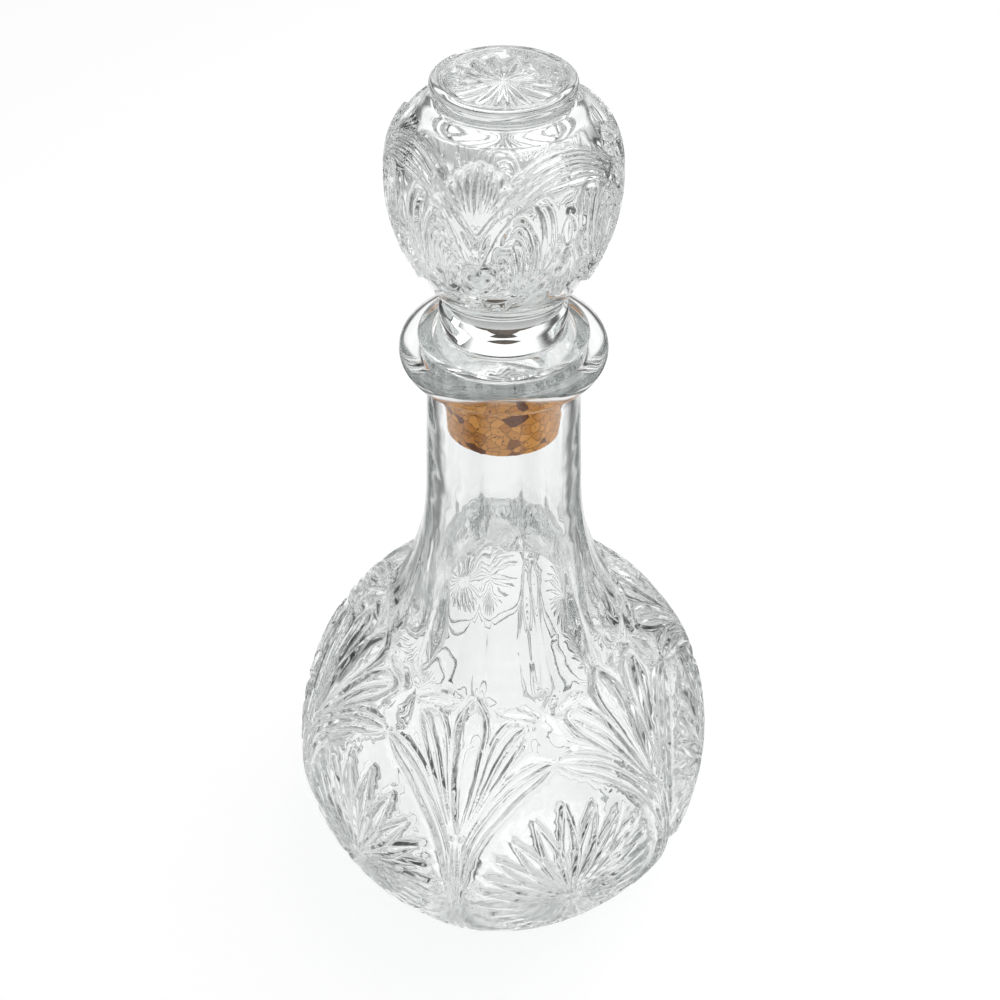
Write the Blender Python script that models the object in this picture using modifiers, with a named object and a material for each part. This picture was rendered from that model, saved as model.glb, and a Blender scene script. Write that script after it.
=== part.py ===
# Pressed glass decanter: a fluted bottle and a hollow glass stopper on a cork plug.
# Metres, +Z up. The origin is the centre of the ring that the bottle stands on,
# and -Y is the middle of one of the six palmettes pressed into the globe.

import bmesh
import bpy
import numpy as np
from mathutils import Matrix
from mathutils.geometry import delaunay_2d_cdt

# Bottle, globe and base
GLOBE_RADIUS = 0.055
GLOBE_WALL = 0.0045
BASE_RADIUS = 0.032
BASE_EDGE_HEIGHT = 0.002
BASE_CHAMFER = 0.0006
BASE_RING_WIDTH = 0.005
PUSH_UP = 0.0022
BASE_THICKNESS = 0.007
FLOOR_CORNER = 0.004
FLOOR_DOME = 0.0015

# Bottle, neck and lip
SHOULDER_RADIUS = 0.0312
NECK_LENGTH = 0.077
NECK_TOP_RADIUS = 0.0155
NECK_TAPER = 0.0039
FLARE_LENGTH = 0.045
BORE_RADIUS = 0.013
LIP_RADIUS = 0.0207
LIP_THICKNESS = 0.0052
LIP_COVE = 0.0022
MOUTH_EDGE = 0.0008

# Flutes of the lower neck, with the ridges between them over palmettes and stars
PALMETTES = 6
FLUTES_PER_PALMETTE = 2
FLUTE_DEPTH = 0.0013
FLUTED_LENGTH = 0.060
FLUTE_END = 0.0018

# Pressed pattern of the globe: ridges stand at the skin, fields and leaves lie below it
PANEL_DEPTH = 0.0009
PANEL_REACH = 0.036
FIELD_DEPTH = 0.0008
LEAF_DEPTH = 0.0008
RIDGE_FOOT = 0.0011
STAR_RAYS = 24
STAR_HEART = 0.0022
STAR_UPPER_REACH = 0.031
STAR_SIDE_REACH = 0.021
STAR_LOWER_REACH = 0.023
RAY_SHOULDER = 0.7
RAY_DEPTH = 0.0008

# Half a palmette's lines, drawn in degrees: round from its middle, up from the globe's middle
HALF_PALMETTE_TURN = 30.0
SHOULDER_RISE = 55.4
BASE_RISE = -54.4
PALMETTE_LINES = {
    "root to tip": [(1.3, 24.7), (3.8, 35.9), (7.2, 46.6), (13.8, 53.4), (18, 53.8), (22, 52.4)],
    "under tip": [(1.3, 24.7), (4.6, 32.8), (10.2, 43.9), (16.5, 50.0), (22, 52.4)],
    "second leaf": [(1.3, 24.7), (6, 32.9), (14.2, 43.5), (22, 52.4)],
    "arch": [(1.3, 13.9), (1.9, 23.2), (5.5, 31.0), (11.5, 38.6), (20, 43.0), (30, 42.8)],
    "under arch": [(1.3, 13.9), (4.1, 24.6), (10, 34.0), (18.5, 39.5), (30, 42.8)],
    "inner arch": [(1.3, 5.5), (5, 19.0), (11.5, 29.5), (19, 36.2), (30, 42.8)],
    "stem": [(1.3, 24.7), (1.3, 13.9), (1.3, 5.5), (1.9, -11.2), (2.6, -26.7), (0, -42.6)],
    "lower arch": [(1.9, -11.2), (5, -18.3), (10, -23.8), (16, -27.3), (30, -29.9)],
    "under lower arch": [(1.9, -11.2), (5, -24.0), (14, -32.8), (22, -34.5), (30, -29.9)],
}
PALMETTE_LEAVES = [("root to tip", "under tip"), ("under tip", "second leaf"), ("arch", "under arch"),
                   ("under arch", "inner arch"), ("lower arch", "under lower arch")]
BUD = [(0, 54.2), (6.1, 50.5), (3.5, 37.2), (0, 23.8)]
GLOBE_SPACING = 0.0062
GLOBE_ROWS = 20

# Stopper, seat upwards
FLANGE_RADIUS = 0.0169
FLANGE_EDGE = 0.0009
COLLAR_HEIGHT = 0.0029
FOOT_RADIUS = 0.0122
FOOT_SWELL = 0.0004
FOOT_HEIGHT = 0.006
STOPPER_BORE_RADIUS = 0.0041
BALL_RADIUS = 0.0212
BALL_LOWER_HEIGHT = 0.0235
BALL_LOWER_REACH = 0.030
BALL_LOWER_POWER = 1.75
BALL_UPPER_REACH = 0.017
BALL_UPPER_POWER = 3.0
BALL_WALL = 0.0045
COIN_RADIUS = 0.0125
COIN_HEIGHT = 0.0038
COIN_GROOVE = 0.0006
COIN_RIM_WIDTH = 0.0022
COIN_RECESS = 0.0009
COIN_RAYS = 16
COIN_RAY_DEPTH = 0.0005

# Half a garland's lines: degrees round from its lowest point, shares of the ball's height
GARLANDS = 4
HALF_GARLAND_TURN = 45.0
GARLAND_DEPTH = 0.0007
GARLAND_LINES = {
    "garland": [(0, 0.655), (8, 0.754), (22, 0.876), (45, 0.931)],
    "under garland": [(0, 0.570), (6, 0.672), (19, 0.812), (45, 0.903)],
    "lower garland": [(0, 0.468), (9, 0.630), (24, 0.800), (45, 0.845)],
    "swag": [(0, 0.296), (14, 0.321), (28, 0.413), (40.2, 0.570)],
    "under swag": [(0, 0.260), (14, 0.283), (28, 0.372), (40.2, 0.570)],
    "scroll": [(12, 0.601), (19.6, 0.710), (26.8, 0.570), (23.4, 0.382)],
    "in scroll": [(12, 0.601), (19.8, 0.654), (22.5, 0.520), (23.4, 0.382)],
    "outer scroll": [(28.6, 0.774), (35.6, 0.718), (36.4, 0.606), (28.2, 0.423)],
    "in outer scroll": [(28.6, 0.774), (32.6, 0.637), (31.6, 0.520), (28.2, 0.423)],
    "fan": [(0, 0.670), (2.6, 0.790), (0, 0.918)],
    "fan leaf": [(2.2, 0.708), (4.6, 0.800), (10, 0.886)],
    "under fan leaf": [(2.2, 0.708), (7, 0.770), (10, 0.886)],
}
GARLAND_LEAVES = [("garland", "under garland"), ("under garland", "lower garland"),
                  ("swag", "under swag"), ("scroll", "in scroll"),
                  ("outer scroll", "in outer scroll"), ("fan leaf", "under fan leaf")]
BALL_BUD = [(45, 0.705), (40.7, 0.630), (45, 0.500)]
BALL_SPACING = 0.0034

# Cork in the bore, with a pin up the stopper's bore
CORK_LENGTH = 0.0216
CORK_TAPER = 0.0004
CORK_CHAMFER = 0.0008
PIN_HEIGHT = 0.0034
TOUCH_GAP = 0.0003

# A point nearer to a line than this lies on it, and two points nearer than this are one
ON_LINE = 0.00005
SAME_POINT = 0.00002

STEPS_PER_FLUTE = 5
STEPS_PER_GARLAND = 12
CORK_STEPS = 32
CURVE_STEPS = 8

globe_centre = BASE_EDGE_HEIGHT + np.sqrt(GLOBE_RADIUS ** 2 - BASE_RADIUS ** 2)
shoulder_height = globe_centre + np.sqrt(GLOBE_RADIUS ** 2 - SHOULDER_RADIUS ** 2)
neck_top = shoulder_height + NECK_LENGTH
lip_top = neck_top + LIP_COVE + LIP_THICKNESS
seat_height = lip_top + TOUCH_GAP
flutes = PALMETTES * FLUTES_PER_PALMETTE
foot_base = seat_height + COLLAR_HEIGHT
ball_base = foot_base + FOOT_HEIGHT
ball_centre = ball_base + BALL_LOWER_HEIGHT
coin_base = ball_centre + BALL_UPPER_REACH * (
    1 - (COIN_RADIUS / BALL_RADIUS) ** BALL_UPPER_POWER) ** (1 / BALL_UPPER_POWER)
coin_top = coin_base + COIN_HEIGHT


def arc(centre, radii, start, end, count):
    """Points on an ellipse in the X-Z plane, from one angle in degrees to another."""
    angles = np.radians(np.linspace(start, end, count))
    return [(centre[0] + radii[0] * np.cos(a), centre[1] + radii[1] * np.sin(a)) for a in angles]


def smooth(value):
    value = np.clip(value, 0.0, 1.0)
    return value * value * (3 - 2 * value)


def turned(name, lines, steps):
    """Profiles in the X-Z plane turned once round Z, as a plain mesh."""
    points, edges = [], []
    for line in lines:
        edges += [(len(points) + i, len(points) + i + 1) for i in range(len(line) - 1)]
        points += [(x, 0, z) for x, z in line]
    mesh = bpy.data.meshes.new(name + "_profile")
    mesh.from_pydata(points, edges, [])
    outline = bpy.data.objects.new(name + "_profile", mesh)
    bpy.context.scene.collection.objects.link(outline)
    screw = outline.modifiers.new("Turn", "SCREW")
    screw.steps = screw.render_steps = steps
    screw.use_merge_vertices = True
    screw.merge_threshold = SAME_POINT
    graph = bpy.context.evaluated_depsgraph_get()
    solid = bpy.data.meshes.new_from_object(outline.evaluated_get(graph))
    bpy.data.objects.remove(outline)
    bpy.data.meshes.remove(mesh)
    solid.name = name
    return solid


def curve(points, spacing):
    """Points at about even spacing on a smooth curve through a line's points."""
    points = np.array(points)
    ends = np.vstack([2 * points[0] - points[1], points, 2 * points[-1] - points[-2]])
    share = np.linspace(0, 1, CURVE_STEPS, endpoint=False)[:, None]
    fine = []
    for before, start, end, after in zip(ends, ends[1:], ends[2:], ends[3:]):
        fine.append(0.5 * (2 * start + (end - before) * share
                           + (2 * before - 5 * start + 4 * end - after) * share ** 2
                           + (3 * start - before - 3 * end + after) * share ** 3))
    fine = np.vstack(fine + [points[-1:]])
    along = np.concatenate([[0], np.cumsum(np.linalg.norm(np.diff(fine, axis=0), axis=1))])
    even = np.linspace(0, along[-1], max(2, int(round(along[-1] / spacing))) + 1)
    return np.column_stack([np.interp(even, along, fine[:, 0]), np.interp(even, along, fine[:, 1])])


def between(one, two, count):
    """The middle line of a leaf, without its two ends."""
    share = np.linspace(0, 1, count + 2)[1:-1]
    picked = [np.column_stack([np.interp(share, np.linspace(0, 1, len(edge)), edge[:, i])
                               for i in (0, 1)]) for edge in (one, two)]
    return (picked[0] + picked[1]) / 2


def inside(point, outline):
    x, y = point
    ax, ay = np.array(outline).T
    bx, by = np.roll(ax, -1), np.roll(ay, -1)
    rise = np.where(by == ay, 1.0, by - ay)
    return np.count_nonzero(((ay > y) != (by > y)) & (x < ax + (y - ay) * (bx - ax) / rise)) % 2 == 1


def near_line(point, line):
    start, step = line[:-1], np.diff(line, axis=0)
    share = np.clip(((point - start) * step).sum(1) / (step ** 2).sum(1), 0, 1)
    return np.linalg.norm(start + step * share[:, None] - point, axis=1).min()


class Pattern:
    """Half a repeat of pressed lines on a flat sheet: width across and height up, in metres."""

    def __init__(self, width, bottom, top, field, foot):
        self.width, self.bottom, self.top, self.field, self.foot = width, bottom, top, field, foot
        self.ridges, self.middles, self.leaves, self.bosses, self.notches = [], [], [], [], []

    def leaf(self, one, two, depth):
        self.leaves.append((np.vstack([one, two[::-1]]), depth))
        self.middles.append(between(one, two, len(one) // 2))
        self.ridges += [one, two]

    def depth(self, point):
        if min(near_line(point, line) for line in self.ridges) < ON_LINE:
            return 0.0
        for outline in self.bosses:
            if near_line(point, outline) < ON_LINE:
                return self.field
            if inside(point, outline):
                return 0.0
        for outline, depth in self.leaves:
            if inside(point, outline):
                return depth
        return self.field

    def feet(self, drawn):
        """Points of the field close beside the ridges, clear of the other lines."""
        wanted, found = list(self.notches), []
        for line in self.ridges:
            ahead = np.gradient(line, axis=0)
            ahead /= np.linalg.norm(ahead, axis=1)[:, None]
            aside = self.foot * np.column_stack([-ahead[:, 1], ahead[:, 0]])
            wanted += list(line + aside) + list(line - aside)
        for spot in wanted:
            clear = min(near_line(spot, other) for other in self.ridges + self.bosses)
            held = any(inside(spot, outline) for outline, _ in self.leaves)
            edge = min(spot[0], self.width - spot[0], spot[1] - self.bottom, self.top - spot[1])
            apart = np.linalg.norm(np.vstack([drawn] + found) - spot, axis=1).min()
            if not held and min(clear, edge, apart) > self.foot * 0.7:
                found.append(spot)
        return [tuple(spot) for spot in found]

    def triangles(self, columns, spacing):
        """The sheet cut into triangles along its lines: flat points, depths and faces."""
        points, edges = [], []

        def stroke(line):
            edges.extend((len(points) + i, len(points) + i + 1) for i in range(len(line) - 1))
            points.extend(line)
        for line in self.ridges + self.bosses + self.middles:
            stroke(line)
        rows = np.linspace(self.bottom, self.top, int(round((self.top - self.bottom) / spacing)) + 1)
        for side in (0.0, self.width):
            placed = np.array([y for x, y in points if abs(x - side) < ON_LINE])
            heights = [y for y in rows if y in rows[[0, -1]] or np.abs(placed - y).min() > spacing / 3]
            stroke([(side, y) for y in sorted(heights + list(placed))])
        for height in (self.bottom, self.top):
            stroke([(x, height) for x in np.linspace(0, self.width, columns + 1)])
        points += self.feet(np.array(points))
        drawn = np.array(points)
        across = max(2, int(round(self.width / spacing)))
        for row, height in enumerate(rows[1:-1]):
            for x in (np.arange(across) + 0.25 + row % 2 / 2) * self.width / across:
                if np.linalg.norm(drawn - (x, height), axis=1).min() > spacing * 0.45:
                    points.append((x, height))
        flat, _, faces = delaunay_2d_cdt([tuple(p) for p in points], edges, [], 0, SAME_POINT, True)[:3]
        depths = []
        for x, y in flat:
            share = min(y - self.bottom, self.top - y) / (spacing / 2)
            depths.append(self.depth(np.array((x, y))) * smooth(share))
        return flat, depths, faces


def press(mesh, pattern, place, repeats, columns, spacing):
    """Closes the gap in a turned mesh with the pattern, mirrored and repeated round Z."""
    flat, depths, faces = pattern.triangles(columns, spacing)
    skin = bmesh.new()
    corners = [skin.verts.new(place(x, y, depth)) for (x, y), depth in zip(flat, depths)]
    for face in faces:
        skin.faces.new([corners[i] for i in face])
    bmesh.ops.mirror(skin, geom=skin.verts[:] + skin.edges[:] + skin.faces[:], matrix=Matrix(),
                     merge_dist=SAME_POINT, axis="X")
    bmesh.ops.spin(skin, geom=skin.verts[:] + skin.edges[:] + skin.faces[:], cent=(0, 0, 0),
                   axis=(0, 0, 1), angle=2 * np.pi * (repeats - 1) / repeats, steps=repeats - 1,
                   use_duplicate=True)
    skin.from_mesh(mesh)
    bmesh.ops.remove_doubles(skin, verts=skin.verts, dist=SAME_POINT)
    bmesh.ops.recalc_face_normals(skin, faces=skin.faces)
    skin.to_mesh(mesh)
    skin.free()


def neck_radius(height):
    """Straight taper under the lip, with a parabolic flare down to the shoulder."""
    rise = height - shoulder_height
    flare = SHOULDER_RADIUS - NECK_TOP_RADIUS - NECK_TAPER
    return (NECK_TOP_RADIUS + NECK_TAPER * (1 - rise / NECK_LENGTH)
            + flare * max(0.0, 1 - rise / FLARE_LENGTH) ** 2)


def neck_outline():
    rises = NECK_LENGTH * np.array([1, 0.94, 0.84, 0.72, 0.6, 0.48, 0.38, 0.28, 0.2, 0.13, 0.07])
    heights = shoulder_height + np.append(rises, [FLUTE_END, 0])
    return [(neck_radius(height), height) for height in heights]


def inner_outline(outer):
    """The wall's inner side: the outer line moved in by the wall, down to the floor."""
    points = np.array(outer)
    ahead = np.gradient(points, axis=0)
    ahead /= np.linalg.norm(ahead, axis=1)[:, None]
    inward = np.column_stack([ahead[:, 1], -ahead[:, 0]])
    share = smooth((neck_top - points[:, 1]) / NECK_LENGTH)
    wall = (NECK_TOP_RADIUS - BORE_RADIUS) * (1 - share) + GLOBE_WALL * share
    inner = points + inward * wall[:, None]
    inner[0] = (BORE_RADIUS, neck_top)
    corner = BASE_THICKNESS + FLOOR_CORNER
    wall_line = [tuple(p) for p in inner[::2] if p[1] > corner + FLOOR_CORNER]
    hollow_radius = GLOBE_RADIUS - GLOBE_WALL
    edge = np.sqrt(hollow_radius ** 2 - (globe_centre - corner) ** 2)
    floor = [(edge, corner), (edge - FLOOR_CORNER, BASE_THICKNESS + FLOOR_CORNER / 4),
             (edge - 2.5 * FLOOR_CORNER, BASE_THICKNESS), (0, BASE_THICKNESS + FLOOR_DOME)]
    return wall_line + floor


def press_flutes(mesh):
    """Sinks the flutes into the outside of the lower neck."""
    for vertex in mesh.vertices:
        x, y, z = vertex.co
        radius = np.hypot(x, y)
        rise = z - shoulder_height
        if not 0 < rise < FLUTED_LENGTH or radius < neck_radius(z) - GLOBE_WALL / 3:
            continue
        across = 2 * (np.arctan2(x, -y) / (2 * np.pi) * flutes % 1.0) - 1
        ends = smooth(rise / FLUTE_END) * smooth((FLUTED_LENGTH - rise) / (FLUTED_LENGTH - FLUTE_END))
        scale = 1 - FLUTE_DEPTH * ends * (1 - across ** 2) / radius
        vertex.co = (x * scale, y * scale, z)


def globe_pattern():
    half = np.pi / PALMETTES
    top = np.arccos(SHOULDER_RADIUS / GLOBE_RADIUS)
    bottom = -np.arccos(BASE_RADIUS / GLOBE_RADIUS)
    pattern = Pattern(GLOBE_RADIUS * half, GLOBE_RADIUS * bottom, GLOBE_RADIUS * top, FIELD_DEPTH,
                      RIDGE_FOOT)

    def flat(points):
        return [(pattern.width * turn / HALF_PALMETTE_TURN,
                 pattern.top * rise / SHOULDER_RISE if rise > 0 else pattern.bottom * rise / BASE_RISE)
                for turn, rise in points]
    lines = {name: curve(flat(points), GLOBE_SPACING) for name, points in PALMETTE_LINES.items()}
    for one, two in PALMETTE_LEAVES:
        pattern.leaf(lines[one], lines[two], LEAF_DEPTH)
    pattern.ridges.append(lines["stem"])
    pattern.bosses.append(curve(flat(BUD), GLOBE_SPACING))
    stem = [tuple(spot) for spot in lines["stem"]]
    pattern.leaves.append((np.array([(0.0, stem[0][1])] + stem), 0.0))
    add_star(pattern)
    return pattern


def add_star(pattern):
    """Half a star of leaf-shaped rays round a point on the globe's middle, on the sheet's far side."""
    wide = np.pi / STAR_RAYS

    def spot(length, bearing):
        rise = length * np.cos(bearing) / GLOBE_RADIUS
        return (pattern.width - length * np.sin(bearing) / np.cos(rise), GLOBE_RADIUS * rise)

    def reach(bearing):
        share = bearing / (np.pi / 2)
        if share < 1:
            return STAR_UPPER_REACH + (STAR_SIDE_REACH - STAR_UPPER_REACH) * share
        return STAR_SIDE_REACH + (STAR_LOWER_REACH - STAR_SIDE_REACH) * (share - 1)
    for ray in range(STAR_RAYS // 2 + 1):
        bearing = 2 * wide * ray
        tip = reach(bearing)
        sides = []
        for side in (-1, 1):
            edge = bearing + side * wide
            shoulder = RAY_SHOULDER * min(tip, reach(abs(edge + side * wide)))
            sides.append(np.array([spot(STAR_HEART, edge), spot(shoulder / 2, edge),
                                   spot(shoulder, edge), spot(tip, bearing)]))
            pattern.notches.append(np.array(spot(shoulder * (1 + 1 / RAY_SHOULDER) / 2, edge)))
        sides = [np.column_stack([np.minimum(side[:, 0], pattern.width), side[:, 1]]) for side in sides]
        pattern.leaf(*sides, RAY_DEPTH)


def make_bottle():
    neck = neck_outline()
    top = np.degrees(np.arccos(SHOULDER_RADIUS / GLOBE_RADIUS))
    bottom = -np.degrees(np.arccos(BASE_RADIUS / GLOBE_RADIUS))
    globe = arc((0, globe_centre), (GLOBE_RADIUS, GLOBE_RADIUS), top, bottom, GLOBE_ROWS)
    inner = inner_outline(neck + globe[1:])
    lip_round = LIP_THICKNESS / 2
    lip_centre = (LIP_RADIUS - lip_round, neck_top + LIP_COVE + lip_round)
    mouth = arc((BORE_RADIUS + MOUTH_EDGE, lip_top - MOUTH_EDGE), (MOUTH_EDGE, MOUTH_EDGE), 180, 90, 3)
    lip = arc(lip_centre, (lip_round, lip_round), 90, -90, 7)
    cove = arc((lip_centre[0], neck_top), (lip_centre[0] - NECK_TOP_RADIUS, LIP_COVE), 90, 180, 4)
    base = [(BASE_RADIUS, BASE_EDGE_HEIGHT), (BASE_RADIUS, BASE_CHAMFER), (BASE_RADIUS - BASE_CHAMFER, 0),
            (BASE_RADIUS - BASE_RING_WIDTH, 0), (BASE_RADIUS - 2 * BASE_RING_WIDTH, PUSH_UP / 2),
            (0, PUSH_UP)]
    steps = flutes * STEPS_PER_FLUTE
    mesh = turned("bottle", [inner[::-1] + mouth + lip + cove[1:-1] + neck, base], steps)
    press_flutes(mesh)

    def place(x, y, depth):
        turn, rise = x / GLOBE_RADIUS, y / GLOBE_RADIUS
        across = 1 - turn * PALMETTES / np.pi
        depth += PANEL_DEPTH * (1 - across ** 2) * max(0.0, 1 - (y / PANEL_REACH) ** 2)
        radius = (GLOBE_RADIUS - depth) * np.cos(rise)
        return (radius * np.sin(turn), -radius * np.cos(turn),
                globe_centre + (GLOBE_RADIUS - depth) * np.sin(rise))
    press(mesh, globe_pattern(), place, PALMETTES, steps // PALMETTES // 2, GLOBE_SPACING)
    return mesh


def egg(rise, radius, upper_reach, lower_reach):
    """Two superellipse arcs that meet at the knob's widest ring."""
    if rise > 0:
        reach, power = upper_reach, BALL_UPPER_POWER
    else:
        reach, power = lower_reach, BALL_LOWER_POWER
    return radius * (1 - min(1.0, abs(rise) / reach) ** power) ** (1 / power)


def ball_pattern():
    half = np.pi / GARLANDS
    height = coin_base - ball_base
    pattern = Pattern(BALL_RADIUS * half, 0.0, height, GARLAND_DEPTH, RIDGE_FOOT)

    def flat(points):
        return [(pattern.width * turn / HALF_GARLAND_TURN, height * share) for turn, share in points]
    lines = {name: curve(flat(points), BALL_SPACING) for name, points in GARLAND_LINES.items()}
    for one, two in GARLAND_LEAVES:
        pattern.leaf(lines[one], lines[two], GARLAND_DEPTH)
    pattern.ridges.append(lines["fan"])
    pattern.bosses.append(curve(flat(BALL_BUD), BALL_SPACING))
    return pattern


def make_stopper():
    rim = COIN_RIM_WIDTH / 2
    coin_flat = COIN_RADIUS - COIN_RIM_WIDTH - rim / 2
    coin = [(coin_flat * share, coin_top - COIN_RECESS) for share in (0, 0.4, 0.85, 1)]
    coin += arc((COIN_RADIUS - rim, coin_top - rim), (rim, rim), 135, 0, 4)
    coin += [(COIN_RADIUS, coin_base + COIN_HEIGHT / 2),
             (COIN_RADIUS - COIN_GROOVE, coin_base + COIN_GROOVE),
             (egg(coin_base - ball_centre, BALL_RADIUS, BALL_UPPER_REACH, BALL_LOWER_REACH), coin_base)]
    foot = [(egg(-BALL_LOWER_HEIGHT, BALL_RADIUS, BALL_UPPER_REACH, BALL_LOWER_REACH), ball_base),
            (FOOT_RADIUS + FOOT_SWELL / 2, ball_base - FOOT_HEIGHT / 5),
            (FOOT_RADIUS + FOOT_SWELL, foot_base + FOOT_HEIGHT / 2), (FOOT_RADIUS, foot_base)]
    edge = FLANGE_EDGE / 2
    brow = np.degrees(np.arctan2(FLANGE_RADIUS - FOOT_RADIUS, COLLAR_HEIGHT - FLANGE_EDGE))
    foot += arc((FLANGE_RADIUS - edge, seat_height + edge), (edge, edge), brow, -90, 5)
    foot += [(STOPPER_BORE_RADIUS, seat_height), (STOPPER_BORE_RADIUS, ball_base)]
    hollow_top = coin_base - ball_centre - BALL_WALL
    for rise in np.linspace(BALL_WALL - BALL_LOWER_HEIGHT, hollow_top, 10):
        foot.append((egg(rise, BALL_RADIUS - BALL_WALL, hollow_top, BALL_LOWER_REACH - BALL_WALL),
                     ball_centre + rise))
    mesh = turned("glass_stopper", [coin, foot], GARLANDS * STEPS_PER_GARLAND)
    for vertex in mesh.vertices:
        x, y, z = vertex.co
        if abs(z - coin_top + COIN_RECESS) < ON_LINE and ON_LINE < np.hypot(x, y) < coin_flat * 0.9:
            vertex.co.z -= COIN_RAY_DEPTH * abs(np.sin(np.arctan2(x, -y) * COIN_RAYS / 2))

    def place(x, y, depth):
        turn, rise = x / BALL_RADIUS, y - BALL_LOWER_HEIGHT
        radius = egg(rise, BALL_RADIUS, BALL_UPPER_REACH, BALL_LOWER_REACH) - depth
        return (radius * np.sin(turn), -radius * np.cos(turn), ball_centre + rise)
    press(mesh, ball_pattern(), place, GARLANDS, STEPS_PER_GARLAND // 2, BALL_SPACING)
    return mesh


def make_cork():
    top = seat_height - TOUCH_GAP
    bottom = top - CORK_LENGTH
    pin = STOPPER_BORE_RADIUS - TOUCH_GAP
    pin_top = seat_height + PIN_HEIGHT
    widest = BORE_RADIUS - TOUCH_GAP
    narrowest = widest - CORK_TAPER
    profile = [(0, pin_top), (pin, pin_top), (pin, top), (widest - CORK_CHAMFER, top),
               (widest, top - CORK_CHAMFER), (narrowest, bottom + CORK_CHAMFER),
               (narrowest - CORK_CHAMFER, bottom), (0, bottom)]
    return turned("cork_plug", [profile], CORK_STEPS)


def material(name, colour, roughness, transmission=0.0):
    made = bpy.data.materials.new(name)
    made.use_nodes = True
    shader = made.node_tree.nodes["Principled BSDF"]
    shader.inputs["Base Color"].default_value = (*colour, 1)
    shader.inputs["Roughness"].default_value = roughness
    shader.inputs["Metallic"].default_value = 0.0
    shader.inputs["Transmission Weight"].default_value = transmission
    shader.inputs["IOR"].default_value = 1.5
    return made


def finish(mesh, collection, made, sharp_angle):
    mesh.materials.clear()
    mesh.materials.append(made)
    mesh.shade_smooth()
    mesh.set_sharp_from_angle(angle=np.radians(sharp_angle))
    collection.objects.link(bpy.data.objects.new(mesh.name, mesh))


def main():
    for old in list(bpy.data.objects):
        bpy.data.objects.remove(old)
    collection = bpy.data.collections.new("decanter")
    bpy.context.scene.collection.children.link(collection)
    finish(make_bottle(), collection, material("bottle_glass", (0.93, 0.95, 0.95), 0.02, 1.0), 30)
    finish(make_stopper(), collection, material("stopper_glass", (0.94, 0.95, 0.96), 0.02, 1.0), 30)
    finish(make_cork(), collection, material("cork", (0.56, 0.31, 0.12), 0.8), 30)


main()
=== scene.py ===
import math

import bpy
import numpy as np
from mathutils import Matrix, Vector
from mathutils.geometry import delaunay_2d_cdt


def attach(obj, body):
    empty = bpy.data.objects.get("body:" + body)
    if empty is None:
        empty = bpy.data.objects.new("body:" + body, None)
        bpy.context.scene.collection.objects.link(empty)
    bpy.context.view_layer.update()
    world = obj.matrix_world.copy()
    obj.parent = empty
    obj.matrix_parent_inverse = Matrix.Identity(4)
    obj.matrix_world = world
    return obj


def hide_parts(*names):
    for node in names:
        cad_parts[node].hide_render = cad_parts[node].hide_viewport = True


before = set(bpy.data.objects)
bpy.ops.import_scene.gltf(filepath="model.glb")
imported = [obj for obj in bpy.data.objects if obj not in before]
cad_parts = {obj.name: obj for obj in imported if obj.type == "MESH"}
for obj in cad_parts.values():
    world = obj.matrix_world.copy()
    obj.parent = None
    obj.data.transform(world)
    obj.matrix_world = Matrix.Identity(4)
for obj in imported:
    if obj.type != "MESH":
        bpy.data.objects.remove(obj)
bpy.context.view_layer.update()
print("frame loaded:", sorted(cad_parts))


# Sizes are in metres; round the axis a place is in degrees, 0 in the middle of a palmette.
bottleSizes = {
    "globeRadius": 0.055, "wall": 0.0045, "baseRadius": 0.032, "baseEdge": 0.002,
    "baseChamfer": 0.0006, "baseRing": 0.005, "pushUp": 0.0022, "floor": 0.007,
    "floorCorner": 0.009, "floorDome": 0.0015, "shoulderWall": 0.0034, "shoulderAt": 0.097,
    "shoulderSpread": (0.013, 0.011),
    "shoulderRadius": 0.0312, "neckLength": 0.077, "neckRadius": 0.0155, "taper": 0.0039,
    "flare": 0.045, "bore": 0.013, "lipRadius": 0.0207, "lipHeight": 0.0052, "cove": 0.0022,
    "mouthEdge": 0.0008, "skinInset": 0.0001, "pushUpRadius": 0.022,
}
bottleCuts = {
    "repeats": 6, "flutes": 12, "fluteDepth": 0.0009, "fluteStart": 0.152, "fluteEnd": 0.0913,
    "scallop": 0.0024, "endWidth": 0.003, "panelDepth": 0.0009, "panelTop": 0.036,
    "field": 0.0008, "shoulderField": 0.0003, "leafWall": 0.0006, "leafSlope": 0.18,
    "rayWall": 0.0003, "raySlope": 0.42, "deepest": 0.0016, "fluteFull": 0.01, "fieldStart": 0.005,
    "shoulderFieldStart": 0.085, "fade": 0.006,
    "grain": 0.0017, "neckGrain": 0.003, "patternTop": 0.098, "beside": (0.00022, 0.00062),
}


def deselectAll():
    if bpy.context.mode != "OBJECT":
        bpy.ops.object.mode_set(mode="OBJECT")
    bpy.ops.object.select_all(action="DESELECT")


def smooth(value):
    value = np.clip(value, 0.0, 1.0)
    return value * value * (3 - 2 * value)


def arcPoints(centre, radii, start, end, count):     # angles in degrees, in the X-Z plane
    turn = np.radians(np.linspace(start, end, count))
    return [(centre[0] + radii[0] * math.cos(a), centre[1] + radii[1] * math.sin(a)) for a in turn]


def throughPoints(points, step):     # a smooth curve through given points
    points = np.array(points, float)
    ends = np.vstack([2 * points[0] - points[1], points, 2 * points[-1] - points[-2]])
    found = []
    for i in range(1, len(ends) - 2):
        a, b, c, d = ends[i - 1:i + 3]
        count = max(1, int(round(np.linalg.norm(c - b) / step)))
        for t in np.arange(count) / count:
            found.append(0.5 * (2 * b + (c - a) * t + (2 * a - 5 * b + 4 * c - d) * t ** 2
                                + (3 * b - a - 3 * c + d) * t ** 3))
    return np.array(found + [points[-1]])


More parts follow.
